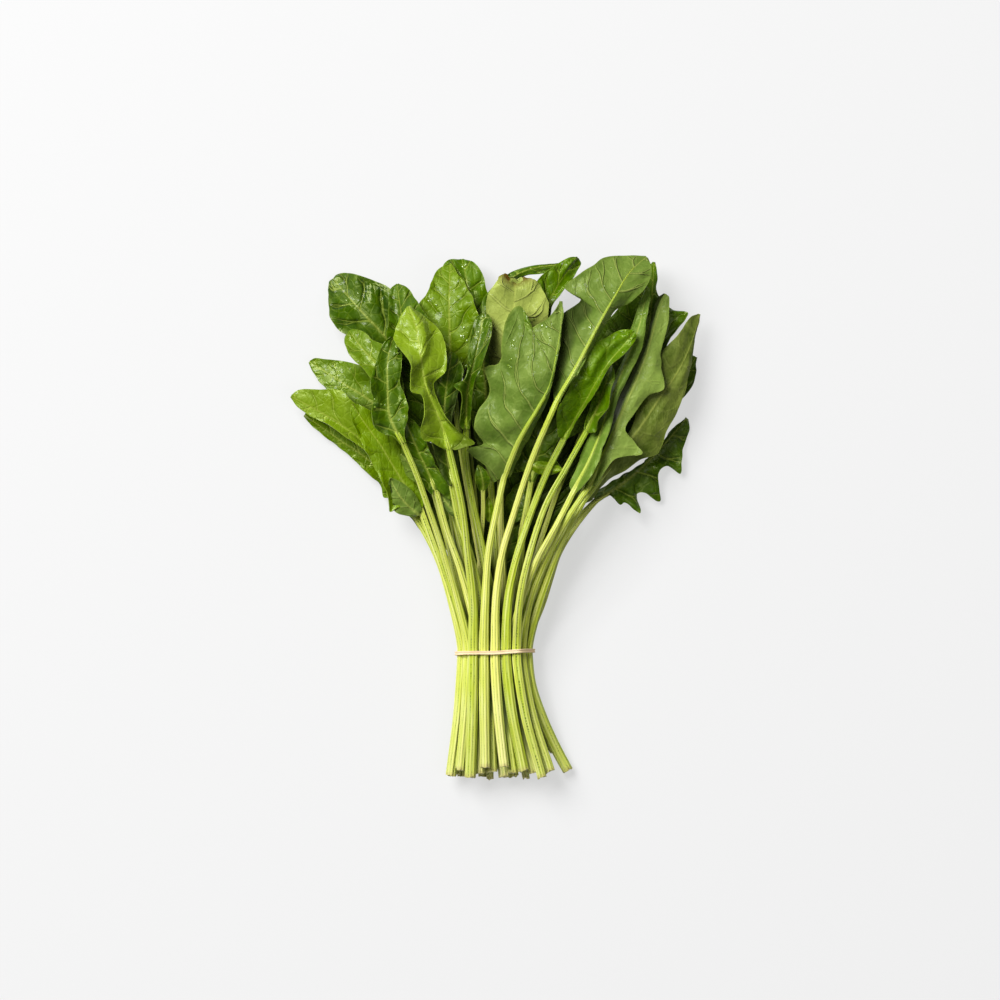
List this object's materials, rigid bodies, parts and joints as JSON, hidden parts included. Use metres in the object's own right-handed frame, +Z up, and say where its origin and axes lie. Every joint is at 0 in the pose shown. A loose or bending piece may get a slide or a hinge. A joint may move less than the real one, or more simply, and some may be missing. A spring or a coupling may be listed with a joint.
{
  "type": "spinach bunch",
  "caption": "Bunch of fresh spinach lying flat: lobed green leaves fanned out on long ribbed stalks, held together by a thin rubber band near the cut ends.",
  "frame": {"origin": "on the surface the bunch lies on, under the middle of the rubber band", "axes": "+Y along the stalks towards the leaf tips, +Z up from the surface, +X to the right seen from above"},
  "size_m": [0.2342, 0.2975, 0.0604],
  "materials": {
    "stalk": "satin, pale yellow-green, ridged along its length",
    "blade_dark": "glossy puckered upper side, dark green",
    "blade_mid": "glossy puckered upper side, mid green",
    "blade_light": "soft gloss, light yellow-green",
    "blade_olive": "matte underside, olive green, raised pale veins",
    "blade_grey": "matte underside, grey-green, raised pale veins",
    "band": "matte natural tan rubber"
  },
  "bodies": {
    "root": {"stalk_01": "stalk", "blade_01": "blade_mid", "stalk_02": "stalk", "blade_02": "blade_dark", "stalk_03": "stalk", "blade_03": "blade_dark", "stalk_04": "stalk", "blade_04": "blade_dark", "stalk_05": "stalk", "blade_05": "blade_dark", "stalk_06": "stalk", "blade_06": "blade_light", "stalk_07": "stalk", "blade_07": "blade_light", "stalk_08": "stalk", "blade_08": "blade_dark", "stalk_09": "stalk", "blade_09": "blade_dark", "stalk_10": "stalk", "blade_10": "blade_dark", "stalk_11": "stalk", "blade_11": "blade_dark", "stalk_12": "stalk", "blade_12": "blade_mid", "stalk_13": "stalk", "blade_13": "blade_dark", "stalk_14": "stalk", "blade_14": "blade_light", "stalk_15": "stalk", "blade_15": "blade_mid", "stalk_16": "stalk", "blade_16": "blade_olive", "stalk_17": "stalk", "blade_17": "blade_dark", "stalk_18": "stalk", "blade_18": "blade_olive", "stalk_19": "stalk", "blade_19": "blade_dark", "stalk_20": "stalk", "blade_20": "blade_dark", "stalk_21": "stalk", "blade_21": "blade_dark", "stalk_22": "stalk", "blade_22": "blade_dark", "stalk_23": "stalk", "blade_23": "blade_grey", "stalk_24": "stalk", "blade_24": "blade_mid", "stalk_25": "stalk", "blade_25": "blade_dark", "stalk_26": "stalk", "blade_26": "blade_dark", "stalk_27": "stalk", "blade_27": "blade_grey", "stalk_28": "stalk", "blade_28": "blade_grey", "stalk_29": "stalk", "blade_29": "blade_light", "rubber_band": "band"}
  },
  "joints": []
}
